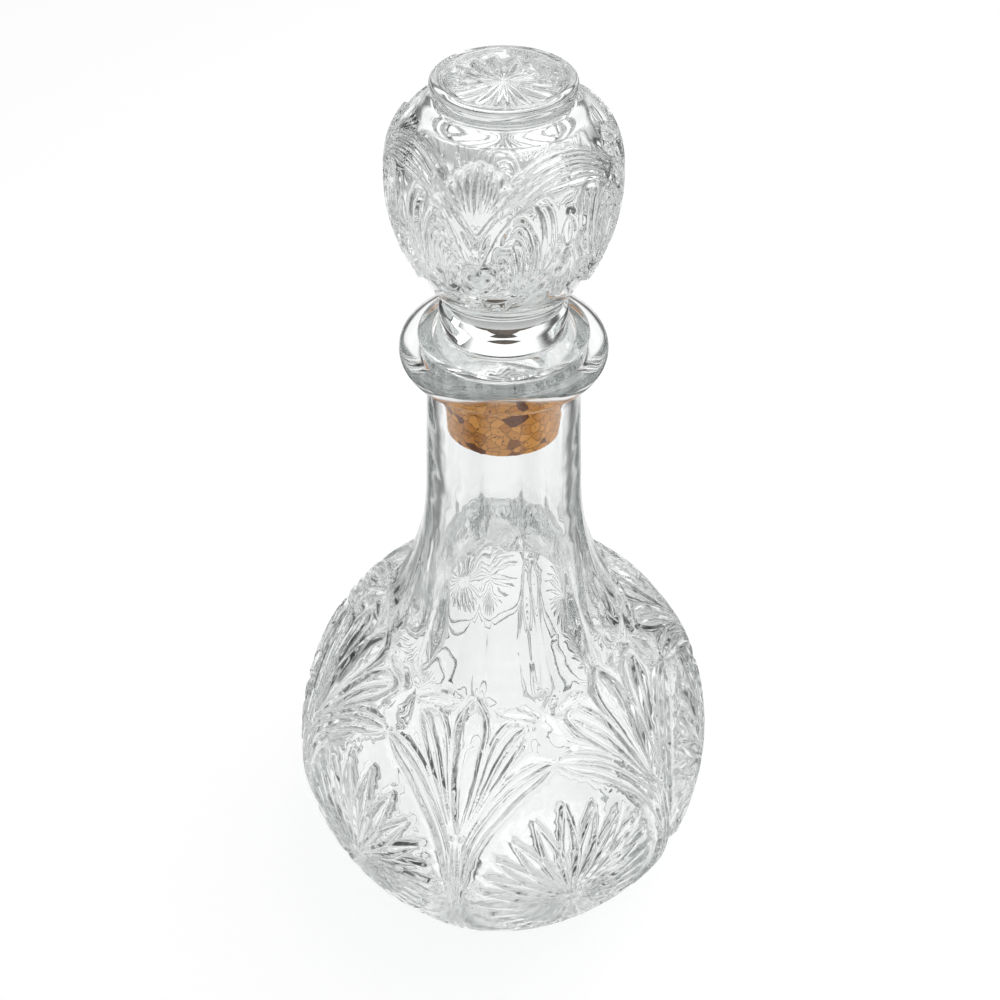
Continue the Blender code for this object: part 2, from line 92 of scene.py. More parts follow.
class TurnedLine:     # an outline that is turned round Z, read by the length along it from its top
    def __init__(self, points):
        line = np.array(points, float)
        steps = np.linalg.norm(np.diff(line, axis=0), axis=1)
        self.along = np.concatenate([[0.0], np.cumsum(steps)])
        self.length = self.along[-1]
        self.r, self.z = line[:, 0], line[:, 1]
        self.slope = np.gradient(line, self.along, axis=0)
        self.slope /= np.linalg.norm(self.slope, axis=1)[:, None]

    def radius(self, s):
        return np.interp(s, self.along, self.r)

    def height(self, s):
        return np.interp(s, self.along, self.z)

    def at(self, z):     # length along the line at a height
        return np.interp(-np.asarray(z), -self.z, self.along)

    def place(self, turn, s, sink):     # points in space, sunk below the outline
        slopeR = np.interp(s, self.along, self.slope[:, 0])
        slopeZ = np.interp(s, self.along, self.slope[:, 1])
        r = self.radius(s) + slopeZ * sink
        z = self.height(s) - slopeR * sink
        angle = np.radians(turn)
        return np.column_stack([r * np.sin(angle), -r * np.cos(angle), z])


def distanceTo(points, path):
    start, edge = path[:-1], np.diff(path, axis=0)
    share = ((points[:, None] - start) * edge).sum(2) / np.maximum((edge ** 2).sum(1), 1e-16)
    nearest = start + np.clip(share, 0, 1)[..., None] * edge
    return np.linalg.norm(points[:, None] - nearest, axis=2).min(1)


def insideOf(points, outline):
    x, y = points[:, 0, None], points[:, 1, None]
    ax, ay = outline[:, 0], outline[:, 1]
    bx, by = np.roll(ax, -1), np.roll(ay, -1)
    rise = np.where(by == ay, 1.0, by - ay)
    crossed = ((ay > y) != (by > y)) & (x < ax + (y - ay) * (bx - ax) / rise)
    return crossed.sum(1) % 2 == 1


ridge = {"half": 0.00017, "foot": 0.00063}     # a ridge's rounded top and the foot of its steep side


def wallShare(near):     # how far down a ridge's side a point lies
    return smooth((near - ridge["half"]) / (ridge["foot"] - ridge["half"]))


class Leaf:     # one pressed cut: two edges in a plane laid on the glass round its own middle
    def __init__(self, line, middle, one, two, form="scoop", wall=0.0, dish=0.009, slope=0.0):
        self.line, self.middle = line, middle
        self.one, self.two = one, two
        self.form, self.wall, self.dish, self.slope = form, wall, dish, slope

    def plane(self, turn, s):
        return np.column_stack([self.line.radius(s) * np.radians(turn - self.middle), s])

    def onGlass(self, path):     # back to degrees and length along the line
        return np.column_stack([self.middle + np.degrees(path[:, 0] / self.line.radius(path[:, 1])),
                                path[:, 1]])

    def strokes(self):
        return [self.onGlass(path) for path in (self.one, self.two)]

    def fold(self):     # the line along the middle, where the two slopes of a cut meet
        share = np.linspace(0.12, 0.88, max(4, int(0.5 * max(len(self.one), len(self.two)))))
        edges = [np.column_stack([np.interp(share, np.linspace(0, 1, len(path)), path[:, axis])
                                  for axis in (0, 1)]) for path in (self.one, self.two)]
        return self.onGlass((edges[0] + edges[1]) / 2)

    def cut(self, turn, s, floor):     # which points it holds, how deep they lie, how near an edge is
        points = self.plane(turn, s)
        toOne, toTwo = distanceTo(points, self.one), distanceTo(points, self.two)
        near = np.minimum(toOne, toTwo)
        held = insideOf(points, np.vstack([self.one, self.two[::-1]])) | (near < 0.00002)
        if self.form == "scoop":
            depth = self.wall * wallShare(near) + self.slope * near + toOne * toTwo / (2 * self.dish)
            depth = np.minimum(depth, bottleCuts["deepest"])
        elif self.form == "roof":
            depth = np.maximum(floor - self.slope * near, 0)
        else:     # a bead in a ring
            depth = floor * np.sin(np.pi * np.minimum(near / self.dish, 1))
        return held, depth, near


def leafBetween(line, one, two=None, mirror=None, step=0.0006, **how):
    def edge(points, middle):
        spots = np.array([(u, line.at(z / 1000)) for u, z in points])
        flat = np.column_stack([line.radius(spots[:, 1]) * np.radians(spots[:, 0] - middle), spots[:, 1]])
        return throughPoints(flat, step)
    if mirror is None:
        middle = np.mean([u for u, z in one + two])
        return Leaf(line, middle, edge(one, middle), edge(two, middle), **how)
    path = edge(one, mirror)
    return Leaf(line, mirror, path, path * (-1, 1), **how)


def petal(line, spine, width, widest=0.6, mirror=None, step=0.0005, **how):     # a leaf round a middle line
    middle = np.mean([u for u, z in spine]) if mirror is None else mirror
    spots = np.array([(u, line.at(z / 1000)) for u, z in spine])
    flat = np.column_stack([line.radius(spots[:, 1]) * np.radians(spots[:, 0] - middle), spots[:, 1]])
    path = throughPoints(flat, step)
    share = np.linspace(0, 1, len(path))
    power = math.log(0.5) / math.log(widest)
    half = width / 2 * np.sin(np.pi * share ** power) ** 0.8
    ahead = np.gradient(path, axis=0)
    ahead /= np.linalg.norm(ahead, axis=1)[:, None]
    side = np.column_stack([-ahead[:, 1], ahead[:, 0]]) * half[:, None]
    return Leaf(line, middle, path + side, path - side, **how)


class PointPool:     # points on the glass, none closer to another than a gap
    def __init__(self):
        self.flat, self.spots = np.zeros((0, 2)), []

    def add(self, flat, spot, gap):
        if len(self.flat):
            away = np.abs(self.flat - flat).max(1)
            nearest = int(away.argmin())
            if away[nearest] < gap:
                return nearest
        self.flat = np.vstack([self.flat, flat])
        self.spots.append(spot)
        return len(self.spots) - 1


gridGaps = {     # how near points may lie to each other, and to the edges of half a repeat
    "seam": 0.00012, "beside": 0.00019, "edge": 0.0002, "even": 0.0002, "longest": 0.0012, "snap": 0.00001,
}


def sheetMesh(line, half, strokes, folds, grain, columns, evenTo, beside):     # half a repeat
    middle, gaps = half / 2, gridGaps
    seam = gaps["seam"]

    def flatten(turn, s):
        return np.array([line.radius(s) * math.radians(turn - middle), s])
    pool, edges = PointPool(), []
    edgeSpots = {0.0: {0.0, line.length}, half: {0.0, line.length}}
    for stroke in strokes:
        for turn, s in stroke:
            for side in edgeSpots:
                if abs(turn - side) * math.radians(line.radius(s)) < seam:
                    edgeSpots[side].add(float(s))
    s = grain(0.0)
    even = []
    while s < line.length - 0.5 * grain(s):
        even.append(s)
        s += grain(s)
    for side, found in edgeSpots.items():
        kept = sorted(found)
        for s in even:
            if min(abs(s - k) for k in kept) > 0.45 * grain(s):
                kept.append(s)
        ids = []
        for s in sorted(kept):
            index = pool.add(flatten(side, s), (side, s), seam)
            if not ids or ids[-1] != index:
                ids.append(index)
        edges += list(zip(ids, ids[1:]))
    for s in (0.0, line.length):
        ids = [pool.add(flatten(u, s), (u, s), 1e-7) for u in np.linspace(0, half, columns + 1)]
        edges += list(zip(ids, ids[1:]))
    lined = 0
    for number, stroke in enumerate(strokes + folds):
        if number == len(strokes):
            lined = len(edges)
        last = None
        for turn, s in stroke:
            if not (-1e-6 <= turn <= half + 1e-6 and 0 <= s <= line.length):
                near = min(edgeSpots, key=lambda side: abs(turn - side))
                if abs(turn - near) * math.radians(line.radius(s)) > seam:
                    last = None
                    continue
                turn = near
            for side in edgeSpots:
                if abs(turn - side) * math.radians(line.radius(s)) < seam:
                    turn = side
            index = pool.add(flatten(turn, s), (turn, s), seam)
            if last is not None and last != index:
                edges.append((last, index))
            last = index
    for a, b in edges[:lined or None]:     # rows of points beside every ridge keep its slopes clean
        start, end = pool.flat[a], pool.flat[b]
        ahead = end - start
        size = np.linalg.norm(ahead)
        if size > gaps["longest"] or min(pool.spots[a][1], pool.spots[b][1]) < evenTo:
            continue
        for offset in beside + tuple(-gap for gap in beside):
            spot = (start + end) / 2 + np.array([-ahead[1], ahead[0]]) / size * offset
            if gaps["edge"] < spot[1] < line.length - gaps["edge"]:
                turn = middle + math.degrees(spot[0] / line.radius(spot[1]))
                room = min(turn, half - turn) * math.radians(line.radius(spot[1]))
                if 0.0 < turn < half and room > gaps["edge"]:
                    pool.add(spot, (turn, spot[1]), gaps["beside"])
    for s in [s for s in even if s < evenTo]:     # even columns where nothing is pressed
        for turn in np.linspace(0, half, columns + 1)[1:-1]:
            pool.add(flatten(turn, s), (turn, s), gaps["even"])
    s, odd = evenTo + grain(evenTo + 0.001) * 0.6, False
    while s < line.length - 0.4 * grain(s):
        gap = grain(s)
        wide = line.radius(s) * math.radians(half)
        count = max(1, int(round(wide / gap)))
        for k in range(count):
            turn = half * (k + (0.25 if odd else 0.75)) / count
            pool.add(flatten(turn, s), (turn, s), 0.62 * gap)
        s, odd = s + 0.866 * gap, not odd
    made = delaunay_2d_cdt([Vector(p) for p in pool.flat], edges, [], 0, 1e-8, True)
    flat, faces = np.array([tuple(p) for p in made[0]]), made[2]
    turn = middle + np.degrees(flat[:, 0] / line.radius(flat[:, 1]))
    turn[np.abs(turn) * np.radians(line.radius(flat[:, 1])) < gaps["snap"]] = 0.0
    turn[np.abs(turn - half) * np.radians(line.radius(flat[:, 1])) < gaps["snap"]] = half
    kept = []
    for face in faces:
        centre = turn[list(face)].mean()
        flatFace = flat[list(face)]
        area = abs(np.cross(flatFace[1] - flatFace[0], flatFace[2] - flatFace[0]))
        ends = turn[list(face)]
        if area < 1e-12 or (ends == 0).all() or (ends == half).all():
            continue
        if 0 < centre < half:
            kept.append(face)
    return turn, flat[:, 1], kept


def latheRings(name, profile, steps):     # rings pulled up one after another, the last drawn to a point
    deselectAll()
    r, z = profile[0]
    bpy.ops.mesh.primitive_circle_add(vertices=steps, radius=r, location=(0, 0, z))
    piece = bpy.context.object
    piece.name = name
    bpy.ops.object.transform_apply(location=True, rotation=True, scale=True)
    bpy.ops.object.mode_set(mode="EDIT")
    bpy.ops.mesh.select_all(action="SELECT")
    for (r, z), (nextR, nextZ) in zip(profile, profile[1:]):
        bpy.ops.mesh.extrude_region_move(TRANSFORM_OT_translate={"value": (0, 0, nextZ - z)})
        grow = nextR / r
        bpy.ops.transform.resize(value=(grow, grow, 1), center_override=(0, 0, nextZ))
    bpy.ops.mesh.merge(type="CENTER")
    bpy.ops.object.mode_set(mode="OBJECT")
    return piece


def pressedSkin(name, line, repeats, leaves, grain, columns, evenTo, beside, sink):     # pressed all round
    half = 180 / repeats
    strokes = [stroke for leaf in leaves for stroke in leaf.strokes()]
    folds = [leaf.fold() for leaf in leaves if leaf.form == "scoop" and leaf.slope]
    turn, s, faces = sheetMesh(line, half, strokes, folds, grain, columns, evenTo, beside)
    spots = line.place(turn, s, sink(turn, s))
    spots[turn == 0, 0] = 0.0
    mesh = bpy.data.meshes.new(name)
    mesh.from_pydata(spots.tolist(), [], faces)
    piece = bpy.data.objects.new(name, mesh)
    bpy.context.scene.collection.objects.link(piece)
    deselectAll()
    piece.select_set(True)
    bpy.context.view_layer.objects.active = piece
    mirror = piece.modifiers.new("other half", "MIRROR")
    mirror.use_axis = (True, False, False)
    mirror.merge_threshold = 0.00001
    bpy.ops.object.modifier_apply(modifier=mirror.name)
    for repeat in range(1, repeats):
        copy = piece.copy()
        copy.data = piece.data.copy()
        copy.rotation_euler = (0, 0, 2 * math.pi * repeat / repeats)
        bpy.context.scene.collection.objects.link(copy)
        copy.select_set(True)
    bpy.ops.object.transform_apply(location=True, rotation=True, scale=True)
    bpy.ops.object.join()
    return piece


def weld(name, pieces, gap=0.00004):     # one closed skin from its turned and pressed parts
    deselectAll()
    for piece in pieces:
        piece.select_set(True)
    bpy.context.view_layer.objects.active = pieces[0]
    bpy.ops.object.join()
    whole = bpy.context.object
    whole.name = whole.data.name = name
    bpy.ops.object.mode_set(mode="EDIT")
    bpy.ops.mesh.select_all(action="SELECT")
    bpy.ops.mesh.remove_doubles(threshold=gap)
    bpy.ops.mesh.select_all(action="SELECT")
    bpy.ops.mesh.normals_make_consistent(inside=False)
    bpy.ops.object.mode_set(mode="OBJECT")
    bpy.ops.object.shade_smooth()
    return whole


b = bottleSizes
globeCentre = b["baseEdge"] + math.sqrt(b["globeRadius"] ** 2 - b["baseRadius"] ** 2)
shoulder = globeCentre + math.sqrt(b["globeRadius"] ** 2 - b["shoulderRadius"] ** 2)
neckTop = shoulder + b["neckLength"]
lipTop = neckTop + b["cove"] + b["lipHeight"]


def neckRadius(z):
    rise = z - shoulder
    spread = b["shoulderRadius"] - b["neckRadius"] - b["taper"]
    return (b["neckRadius"] + b["taper"] * (1 - rise / b["neckLength"])
            + spread * max(0.0, 1 - rise / b["flare"]) ** 2)


def bottleLine():
    inset = b["skinInset"]
    neck = [(neckRadius(z) - inset, z) for z in np.linspace(neckTop, shoulder, 60)]
    top = math.degrees(math.acos(b["shoulderRadius"] / b["globeRadius"]))
    bottom = -math.degrees(math.acos(b["baseRadius"] / b["globeRadius"]))
    radius = b["globeRadius"] - inset
    return TurnedLine(neck + arcPoints((0, globeCentre), (radius, radius), top, bottom, 120)[1:])


globeLeaves = {     # places as (degrees from the palmette, millimetres above the base)
    "upper leaf": dict(
        one=[(1.3, 69.7), (2.6, 75), (3.8, 79), (5.3, 83), (7.2, 86.7), (9.8, 89.2), (13.8, 90.9), (18, 91.1),
             (22, 90.3)],
        two=[(1.3, 69.7), (2.6, 72.6), (4.6, 76.5), (7, 80.8), (10.2, 84.9), (14.2, 87.7), (18.5, 89.5),
             (22, 90.3)]),
    "second leaf": dict(
        one=[(1.3, 69.7), (2.6, 72.6), (4.6, 76.5), (7, 80.8), (10.2, 84.9), (14.2, 87.7), (18.5, 89.5),
             (22, 90.3)],
        two=[(1.3, 69.7), (3.2, 72.3), (6, 76.6), (9.8, 80.9), (14.2, 84.6), (18.8, 87.6), (22, 90.3)]),
    "outer arch": dict(
        one=[(1.3, 60), (1.4, 64), (1.9, 68.4), (4.8, 74), (9.4, 79.2), (15, 82.8), (22, 84.7), (27, 84.9),
             (30, 84.1)],
        two=[(1.3, 60), (2.3, 65), (4.1, 69.6), (8.1, 75), (13, 79.2), (18.5, 81.7), (24.5, 83.2),
             (30, 84.1)]),
    "inner arch": dict(
        one=[(1.3, 52), (1.5, 57.5), (2.3, 65), (4.1, 69.6), (8.1, 75), (13, 79.2), (18.5, 81.7),
             (24.5, 83.2), (30, 84.1)],
        two=[(1.3, 52), (2.7, 57), (5, 64.6), (8, 70.2), (11.5, 73.8), (15, 76.7), (19, 79.2), (24.5, 81.4),
             (30, 84.1)]),
    "shoulder leaf": dict(
        one=[(26.2, 91.2), (22, 93), (16, 93.8), (10, 92.6)],
        two=[(26.2, 91.2), (20.5, 91.6), (15, 91.9), (10, 92.6)]),
    "stem": dict(
        one=[(0, 70), (0, 55), (0, 40), (0, 25), (0, 9.5)],
        two=[(0, 70), (1.2, 66), (1.3, 52), (1.5, 42), (2, 32), (2.6, 22), (1.8, 14.5), (0, 9.5)]),
    "lower arch": dict(
        one=[(1.9, 36), (5, 29.5), (10, 24.5), (16, 21.5), (23, 19.8), (30, 19.3)],
        two=[(1.9, 36), (3.5, 27), (8, 20.5), (14, 17), (22, 15.6), (30, 19.3)]),
    "bud": dict(
        mirror=0,
        one=[(0, 95.2), (3, 93.4), (5.6, 91.2), (6.1, 89.3), (5.2, 86.3), (3.5, 80), (2, 74.5), (0.9, 70.8),
             (0, 68.9)]),
    "kite": dict(
        mirror=30, form="roof", slope=0.25, one=[(30, 92), (27, 90.6), (24.4, 87), (26.6, 85.2), (30, 84.1)]),
}
star = {
    "centre": 46.2, "rays": 24, "heart": 0.0013, "widest": 0.6, "point": 1.4, "step": 0.0006,
    "lengths": [31.5, 29.8, 27.5, 25.5, 23.8, 22.5, 21.5, 21, 21, 21.5, 22, 22.5, 23],
}


def starRays(line):
    rays, wide = [], math.pi / star["rays"]
    heart = np.array([0.0, float(line.at(star["centre"] / 1000))])
    half = math.degrees(math.pi / bottleCuts["repeats"])
    lengths = [length / 1000 for length in star["lengths"]]

    def edge(k, side, length, toward):
        shared = min(length, toward) * star["widest"]
        out = np.arange(star["heart"], shared, star["step"])
        angle = (2 * k + side) * wide
        path = [heart + r * np.array([-math.sin(angle), -math.cos(angle)]) for r in out]
        start, end = out[-1], length
        for t in np.linspace(0, 1, int((end - start) / star["step"]))[1:]:
            r = start + (end - start) * t
            bend = angle - side * wide * (1 - (1 - t ** star["point"]) * start / r)
            path.append(heart + r * np.array([-math.sin(bend), -math.cos(bend)]))
        return np.array(path)
    for k, length in enumerate(lengths):
        before = lengths[max(k - 1, 0)]
        after = lengths[min(k + 1, len(lengths) - 1)]
        if k == 0:
            before = after
        if k == len(lengths) - 1:
            after = before
        rays.append(Leaf(line, half, edge(k, -1, length, before), edge(k, 1, length, after),
                         wall=bottleCuts["rayWall"], slope=bottleCuts["raySlope"], dish=0.05))
    return rays


def bottleSkin():
    line, cuts = bottleLine(), bottleCuts
    leaves = [leafBetween(line, **{"wall": cuts["leafWall"], "slope": cuts["leafSlope"], **made})
              for made in globeLeaves.values()]
    leaves += starRays(line)
    half = 180 / cuts["repeats"]
    patternStart = line.at(cuts["patternTop"])

    def grain(s):
        return cuts["grain"] if s > patternStart else cuts["neckGrain"]

    def sink(turn, s):
        z = line.height(s)
        across = 2 * ((turn / (2 * half)) * cuts["flutes"] / cuts["repeats"] % 1.0) - 1
        low = smooth((cuts["fluteStart"] - z) / (cuts["fluteStart"] - shoulder - cuts["fluteFull"]))
        fluted = cuts["fluteDepth"] * low ** 3 * (1 - across ** 6)
        span = 2 * (turn / (2 * half) % 1.0) - 1
        tilt = np.arcsin(np.clip((z - globeCentre) / b["globeRadius"], -1, 1))
        up = b["globeRadius"] * tilt / cuts["panelTop"]
        panel = cuts["panelDepth"] * (1 - span ** 2) * np.clip(1 - up ** 2, 0, 1)
        high = smooth((z - cuts["shoulderFieldStart"]) / cuts["fade"])
        floor = cuts["field"] + cuts["shoulderField"] * high
        floor *= smooth((z - cuts["fieldStart"]) / cuts["fade"])
        depth, near, free = floor.copy(), np.full(len(s), 1.0), np.ones(len(s), bool)
        for leaf in leaves:
            held, cut, edge = leaf.cut(turn, s, floor)
            mine = held & free
            depth[mine] = cut[mine]
            free &= ~held
            if leaf.form == "scoop":
                near = np.minimum(near, edge)
        depth[free] = (floor * wallShare(near))[free]
        share = smooth((z - cuts["fluteEnd"] - cuts["scallop"] * across ** 2) / cuts["endWidth"])
        return share * fluted + (1 - share) * (panel + depth)
    skin = pressedSkin("bottleSkin", line, cuts["repeats"], leaves, grain, 10, float(patternStart),
                       cuts["beside"], sink)
    return skin, line


def innerLine(outer):
    wall = b["wall"]
    spots = [(b["bore"], neckTop)]
    for s in np.linspace(0, outer.length, 72)[1:]:
        slopeR = np.interp(s, outer.along, outer.slope[:, 0])
        slopeZ = np.interp(s, outer.along, outer.slope[:, 1])
        share = smooth((neckTop - outer.height(s)) / b["neckLength"])
        thick = (b["neckRadius"] - b["bore"]) * (1 - share) + wall * share
        above = outer.height(s) - b["shoulderAt"]
        thick += b["shoulderWall"] * math.exp(-(above / b["shoulderSpread"][0 if above > 0 else 1]) ** 2)
        spots.append((outer.radius(s) + slopeZ * thick, outer.height(s) - slopeR * thick))
    floor = b["floor"]
    wallLine = [spot for spot in spots if spot[1] > floor + b["floorCorner"]]
    (lastR, lastZ), (endR, endZ) = wallLine[-2:]
    meet = endR - (endZ - floor) * (lastR - endR) / (lastZ - endZ)     # the wall's slope meets the floor
    flatR = meet - b["floorCorner"]
    bend = [((1 - t) ** 2 * endR + 2 * t * (1 - t) * meet + t * t * flatR,
             (1 - t) ** 2 * endZ + (1 - (1 - t) ** 2) * floor) for t in np.linspace(0, 1, 13)[1:]]
    flat = [(r, floor + b["floorDome"] * (1 - (r / flatR) ** 2) ** 2)
            for r in np.linspace(flatR, 0, 14)[1:-1]]
    return wallLine + bend + flat


def makeBottle():
    skin, line = bottleSkin()
    steps = bottleCuts["repeats"] * 2 * 10
    lipRound = b["lipHeight"] / 2
    lipCentre = (b["lipRadius"] - lipRound, neckTop + b["cove"] + lipRound)
    cove = arcPoints((lipCentre[0], neckTop), (lipCentre[0] - b["neckRadius"], b["cove"]), 180, 90, 8)
    cove[0] = (line.r[0], neckTop)
    lip = arcPoints(lipCentre, (lipRound, lipRound), -90, 90, 22)
    edge = b["mouthEdge"]
    mouth = arcPoints((b["bore"] + edge, lipTop - edge), (edge, edge), 90, 180, 6)
    top = latheRings("bottleTop", cove + lip[1:] + mouth + innerLine(line), steps)
    chamfer, ring, reach = b["baseChamfer"], b["baseRing"], b["pushUpRadius"]
    base = [(line.r[-1], line.z[-1]), (b["baseRadius"], chamfer),
            (b["baseRadius"] - chamfer * 0.3, chamfer * 0.3), (b["baseRadius"] - chamfer, 0),
            (b["baseRadius"] - ring, 0), (b["baseRadius"] - ring * 1.5, b["pushUp"] * 0.35)]
    base += [(r, b["pushUp"] * (0.5 + 0.5 * (1 - (r / reach) ** 2))) for r in np.linspace(reach, 0, 8)[:-1]]
    foot = latheRings("bottleBase", base, steps)
    return weld("pressed_bottle", [skin, top, foot])


bottle = makeBottle()
print("bottle:", len(bottle.data.vertices), "points")


# The stopper: a hollow knob on a stepped foot, with a round flat on top.
knobSizes = {
    "seat": lipTop + 0.0003, "flangeRadius": 0.0169, "flangeEdge": 0.0009, "flangeHeight": 0.0029,
    "footRadius": 0.0122, "footSwell": 0.0004, "footHeight": 0.006, "radius": 0.0212,
    "below": 0.0235, "lowerReach": 0.030, "lowerPower": 1.75, "upperReach": 0.017, "upperPower": 3.0,
    "wall": 0.0045, "coinRadius": 0.0125, "coinHeight": 0.0038, "coinGroove": 0.0006,
    "coinRim": 0.0022, "coinRecess": 0.0009, "hollowDip": 0.002,
    "skinInset": 0.00005,
}
knobCuts = {
    "repeats": 4, "field": 0.0008, "wall": 0.0007, "dish": 0.005, "deepest": 0.0012, "fadeTop": 0.003,
    "fadeFoot": 0.004, "grain": 0.0007, "columns": 12, "beside": (0.00022, 0.00046), "coinRays": 16,
    "coinRayDepth": 0.0009, "coinRayFade": 0.0012, "coinHeart": 0.005,
}
k = knobSizes
footBase = k["seat"] + k["flangeHeight"]
knobCentre = footBase + k["footHeight"] + k["below"]


def knobRadius(rise, radius=None, upper=None, lower=None):     # two superellipse arcs, egg-shaped
    reach, power = (upper or k["upperReach"], k["upperPower"]) if rise > 0 else (lower or k["lowerReach"],
                                                                              k["lowerPower"])
    return (radius or k["radius"]) * (1 - min(1.0, abs(rise) / reach) ** power) ** (1 / power)


coinBase = knobCentre + k["upperReach"] * (
    1 - (k["coinRadius"] / k["radius"]) ** k["upperPower"]) ** (1 / k["upperPower"])
coinTop = coinBase + k["coinHeight"]


def knobLine():
    top = (coinBase - knobCentre) / k["upperReach"]
    turn = np.linspace(math.asin(top), -math.asin(k["below"] / k["lowerReach"]), 110)
    rises = [math.sin(t) * (k["upperReach"] if t > 0 else k["lowerReach"]) for t in turn]
    return TurnedLine([(knobRadius(rise) - k["skinInset"], knobCentre + rise) for rise in rises])


knobLeaves = {     # degrees from the middle of a garland's V, millimetres above the base
    "garland": dict(
        one=[(0, 211.3), (4, 213.4), (8, 215.2), (14, 217.6), (22, 220), (32, 221.6), (45, 222.2)],
        two=[(0, 208), (3, 210), (6, 212), (12, 214.6), (19, 217.5), (26, 219.4), (36, 220.8), (45, 221.1)]),
    "lower garland": dict(
        one=[(0, 205.5), (3, 207.8), (6, 210.1), (12, 213.5), (20, 216.6), (30, 218.9), (38, 219.7),
             (45, 219.9)],
        two=[(0, 204), (2.4, 206), (5, 208.2), (9, 211.4), (16, 214.7), (24, 217), (34, 218.5), (45, 218.8)]),
    "bud": dict(mirror=45, form="roof", slope=0.5, one=[(45, 213.2), (42.2, 212), (40.7, 210), (41.4, 207.9),
                                                       (45, 206.6)]),
    "tent": dict(one=[(44.8, 206.2), (42.8, 204.3), (40.8, 201.8), (38.2, 198.3)],
                 two=[(44.8, 206.2), (43.6, 203), (42, 199.8), (38.2, 198.3)]),
    "tent leaf": dict(mirror=45, one=[(45, 205.2), (43.7, 202), (43.4, 199), (45, 195.8)]),
    "scroll": dict(
        one=[(8.3, 204.9), (9.8, 206.9), (12.6, 207.7), (15.6, 206.6), (17.3, 203.8), (16.9, 199.4)],
        two=[(8.3, 204.9), (10.4, 205.6), (12.6, 205.9), (14.3, 204.8), (15, 202.4), (16.9, 199.4)]),
    "second scroll": dict(
        one=[(17.3, 209.7), (20, 209.2), (21.8, 206.8), (22.1, 203.2), (19.6, 199.5)],
        two=[(17.3, 209.7), (18.9, 207.5), (19.8, 204.8), (19.7, 202), (19.6, 199.5)]),
    "third scroll": dict(
        one=[(12, 209.2), (15.5, 212.1), (19.6, 213.5), (23.8, 212), (26.8, 208), (26.8, 204), (23.4, 200.6)],
        two=[(12, 209.2), (16, 210.8), (19.8, 211.3), (22.8, 209.4), (24.2, 206), (24.2, 203),
             (23.4, 200.6)]),
    "outer scroll": dict(
        one=[(28.6, 216), (32.5, 216.2), (35.6, 213.8), (36.4, 209.4), (34.2, 205.2), (28.2, 202.2)],
        two=[(28.6, 216), (31.4, 214), (32.6, 210.6), (32, 207.4), (30.3, 204.6), (28.2, 202.2)]),
    "swag": dict(
        one=[(0, 197.2), (8, 197.5), (14, 198.2), (20, 199.3), (28, 201.8), (35, 204.9), (40.2, 208)],
        two=[(0, 195.8), (8, 196), (14, 196.7), (20, 197.8), (28, 200.2), (35, 203.3), (40.2, 208)]),
}
knobPetals = {     # a middle line and a width in metres
    "fan middle": dict(spine=[(0, 212.4), (0, 217), (0, 221.9)], width=0.0019, mirror=0),
    "fan second": dict(spine=[(1.1, 213), (3, 217), (5.2, 221.4)], width=0.0017),
    "fan third": dict(spine=[(2.2, 213.4), (5.8, 216.7), (10, 220.4)], width=0.0016),
    "fan fourth": dict(spine=[(3.4, 213.8), (8.5, 216.3), (14.3, 218.9)], width=0.0014),
    "inner leaf": dict(spine=[(0.9, 207), (3.8, 209.3), (7.2, 212.2)], width=0.0012),
    "middle leaf": dict(spine=[(7.8, 212.4), (11.5, 214), (15.6, 215.6)], width=0.0009),
    "scroll eye": dict(spine=[(11.3, 204.6), (12.3, 202.8), (12.4, 200.4)], width=0.0017),
    "small leaf": dict(spine=[(34.6, 204.6), (36.8, 206.2), (38.8, 209)], width=0.0014),
    "first oval": dict(spine=[(4.5, 193.9), (9, 194), (13.5, 194.9)], width=0.0015, widest=0.5),
    "second oval": dict(spine=[(15, 195.3), (20, 196.1), (24.5, 197.9)], width=0.0014, widest=0.5),
    "third oval": dict(spine=[(26, 198.3), (30.5, 199.6), (35, 202)], width=0.0013, widest=0.5),
}
knobBead = {"height": 201.2, "radius": 0.0031, "ring": 0.0013}


def bead(line):     # a round boss in a ring, cut by the mirror plane
    middle = float(line.at(knobBead["height"] / 1000))
    turn = np.linspace(0, math.pi, 28)
    path = np.column_stack([knobBead["radius"] * np.sin(turn), middle - knobBead["radius"] * np.cos(turn)])
    return Leaf(line, 0, path, path * (-1, 1), form="bead", dish=knobBead["ring"])


def knobSkin():
    line, cuts = knobLine(), knobCuts
    leaves = [bead(line)]
    leaves += [petal(line, wall=cuts["wall"], dish=cuts["dish"], **made) for made in knobPetals.values()]
    leaves += [leafBetween(line, step=0.0004, **{"wall": cuts["wall"], "dish": cuts["dish"], **made})
               for made in knobLeaves.values()]

    def grain(s):
        return cuts["grain"]

    def sink(turn, s):
        z = line.height(s)
        fade = smooth(s / cuts["fadeTop"]) * smooth((line.length - s) / cuts["fadeFoot"])
        floor = cuts["field"] * fade
        depth, near, free = floor.copy(), np.full(len(s), 1.0), np.ones(len(s), bool)
        for leaf in leaves:
            held, cut, edge = leaf.cut(turn, s, floor)
            mine = held & free
            depth[mine] = np.minimum(cut, cuts["deepest"])[mine]
            free &= ~held
            if leaf.form != "roof":
                near = np.minimum(near, edge)
        depth[free] = (floor * wallShare(near))[free]
        return depth
    skin = pressedSkin("knobSkin", line, cuts["repeats"], leaves, grain, cuts["columns"], 0.0,
                       cuts["beside"], sink)
    return skin, line


